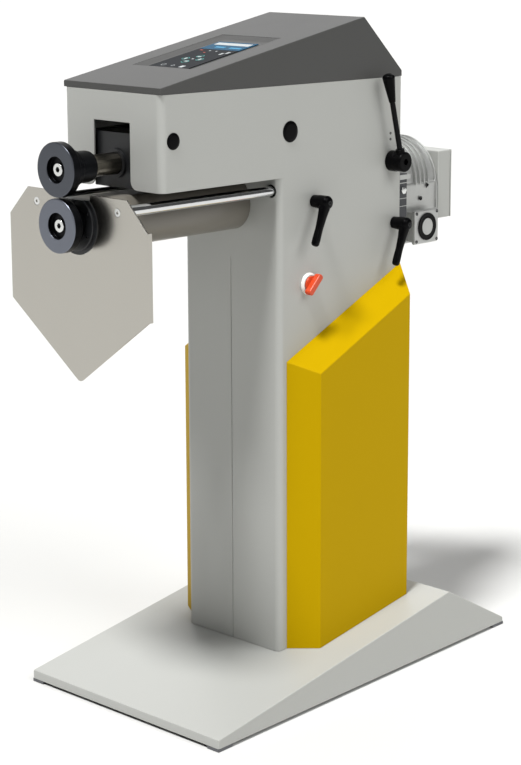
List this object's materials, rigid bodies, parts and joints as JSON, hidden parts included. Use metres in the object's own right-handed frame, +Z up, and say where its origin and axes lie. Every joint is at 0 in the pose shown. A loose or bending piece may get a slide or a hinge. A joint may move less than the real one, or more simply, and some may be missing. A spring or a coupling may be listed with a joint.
{
  "type": "electric bead roller",
  "caption": "Floor-standing electric bead roller with a folded sheet column, two flange rolls, a sliding stop plate, a worm gear motor and yellow side covers.",
  "frame": {"origin": "centre of the machine's plan, on the floor", "axes": "+Z up, +X to the operator's right when facing the machine's rear, -Y towards the rolls and the operator"},
  "size_m": [0.522, 1.02, 1.3171],
  "materials": {
    "light_grey_powder_coat": "satin, fine texture",
    "dark_grey_paint": "satin",
    "dark_grey_powder_coat": "satin, fine texture",
    "charcoal_membrane": "matt film",
    "display_window": "gloss",
    "yellow_powder_coat": "semi-gloss",
    "arm_grey_paint": "satin",
    "dark_casting": "painted, dull",
    "bearing_steel": "ground",
    "cast_aluminium": "as cast",
    "black_plastic": "satin",
    "white_plastic": "semi-gloss",
    "motor_grey_paint": "satin",
    "blackened_steel": "burnished",
    "zinc_plated_steel": "bright zinc",
    "ground_steel": "ground",
    "black_paint": "satin",
    "brushed_stainless": "brushed",
    "chromed_steel": "polished",
    "black_steel_rod": "satin",
    "orange_red_plastic": "semi-gloss"
  },
  "bodies": {
    "machine": {"base_shell": "light_grey_powder_coat", "base_frame": "dark_grey_paint", "housing_left": "light_grey_powder_coat", "housing_right": "light_grey_powder_coat", "rear_panel": "light_grey_powder_coat", "top_cover": "dark_grey_powder_coat", "panel_tray": "dark_grey_powder_coat", "control_keypad": "charcoal_membrane", "control_display": "display_window", "side_cover_left": "yellow_powder_coat", "side_cover_right": "yellow_powder_coat", "lower_arm": "arm_grey_paint", "arm_bearing_cap": "dark_casting", "bearing_bulkhead": "dark_casting", "arm_bearing": "bearing_steel", "bulkhead_bearing": "bearing_steel", "rod_guide_left": "cast_aluminium", "rod_guide_right": "cast_aluminium", "rear_clamp_block": "cast_aluminium", "pivot_pin_left": "bearing_steel", "pivot_pin_right": "bearing_steel", "head_plug_left": "black_plastic", "head_plug_right": "black_plastic", "pivot_cap_left": "black_plastic", "pivot_cap_right": "black_plastic", "switch_bezel": "white_plastic", "gear_adapter": "dark_casting", "gearbox_housing": "cast_aluminium", "worm_seal_ring": "black_plastic", "motor_body": "motor_grey_paint", "motor_fan_cover": "motor_grey_paint", "drive_box": "light_grey_powder_coat", "drive_box_lid": "light_grey_powder_coat", "cable_gland": "black_plastic"},
    "lower_drive": {"lower_roll": "blackened_steel", "lower_roll_screw": "zinc_plated_steel", "lower_shaft": "ground_steel", "lower_gear": "ground_steel"},
    "rocker": {"rocker_plate_left": "black_paint", "rocker_plate_right": "black_paint", "spindle_front_block": "black_paint", "spindle_rear_block": "black_paint", "rocker_tail_block": "black_paint", "spindle_front_bearing": "bearing_steel", "spindle_rear_bearing": "bearing_steel"},
    "upper_drive": {"upper_roll": "blackened_steel", "upper_roll_screw": "zinc_plated_steel", "upper_spindle": "ground_steel", "upper_gear": "ground_steel"},
    "gauge": {"gauge_plate": "brushed_stainless", "guide_rod_left": "chromed_steel", "guide_rod_right": "chromed_steel"},
    "front_clamp": {"clamp_lever_front": "black_plastic"},
    "rear_clamp": {"clamp_lever_rear": "black_plastic"},
    "opening_lever": {"eccentric_shaft": "ground_steel", "lever_hub": "black_plastic", "lever_rod": "black_steel_rod", "lever_grip": "black_plastic"},
    "switch": {"switch_knob": "orange_red_plastic"}
  },
  "joints": [
    {"name": "lower_drive_turn", "type": "hinge", "parent": "machine", "child": "lower_drive", "pos_m": [0, -0.51, 0.964], "axis": [0, 1, 0], "continuous": true},
    {"name": "upper_drive_turn", "type": "hinge", "parent": "rocker", "child": "upper_drive", "pos_m": [0, -0.51, 1.064], "axis": [0, 1, 0], "continuous": true},
    {"name": "opening_lever_swing", "type": "hinge", "parent": "machine", "child": "opening_lever", "pos_m": [0.1293, 0.258, 1.026], "axis": [1, 0, 0], "range_deg": [0, 90]},
    {"name": "rocker_tilt", "type": "hinge", "parent": "machine", "child": "rocker", "pos_m": [0, -0.043, 1.107], "axis": [-1, 0, 0], "range_deg": [0, 2.25]},
    {"name": "gauge_slide", "type": "slide", "parent": "machine", "child": "gauge", "axis": [0, 1, 0], "range_m": [0, 0.25]},
    {"name": "front_clamp_turn", "type": "hinge", "parent": "machine", "child": "front_clamp", "pos_m": [0.1293, 0.024, 0.967], "axis": [1, 0, 0], "range_deg": [-90, 90]},
    {"name": "rear_clamp_turn", "type": "hinge", "parent": "machine", "child": "rear_clamp", "pos_m": [0.1293, 0.267, 0.898], "axis": [1, 0, 0], "range_deg": [-90, 90]},
    {"name": "switch_turn", "type": "hinge", "parent": "machine", "child": "switch", "pos_m": [0.1356, 0.008, 0.806], "axis": [1, 0, 0], "range_deg": [0, 90]}
  ],
  "couplings": [
    {"joint": "upper_drive_turn", "follows": "lower_drive_turn", "ratio": -1},
    {"joint": "rocker_tilt", "follows": "opening_lever_swing", "ratio": 0.025}
  ]
}
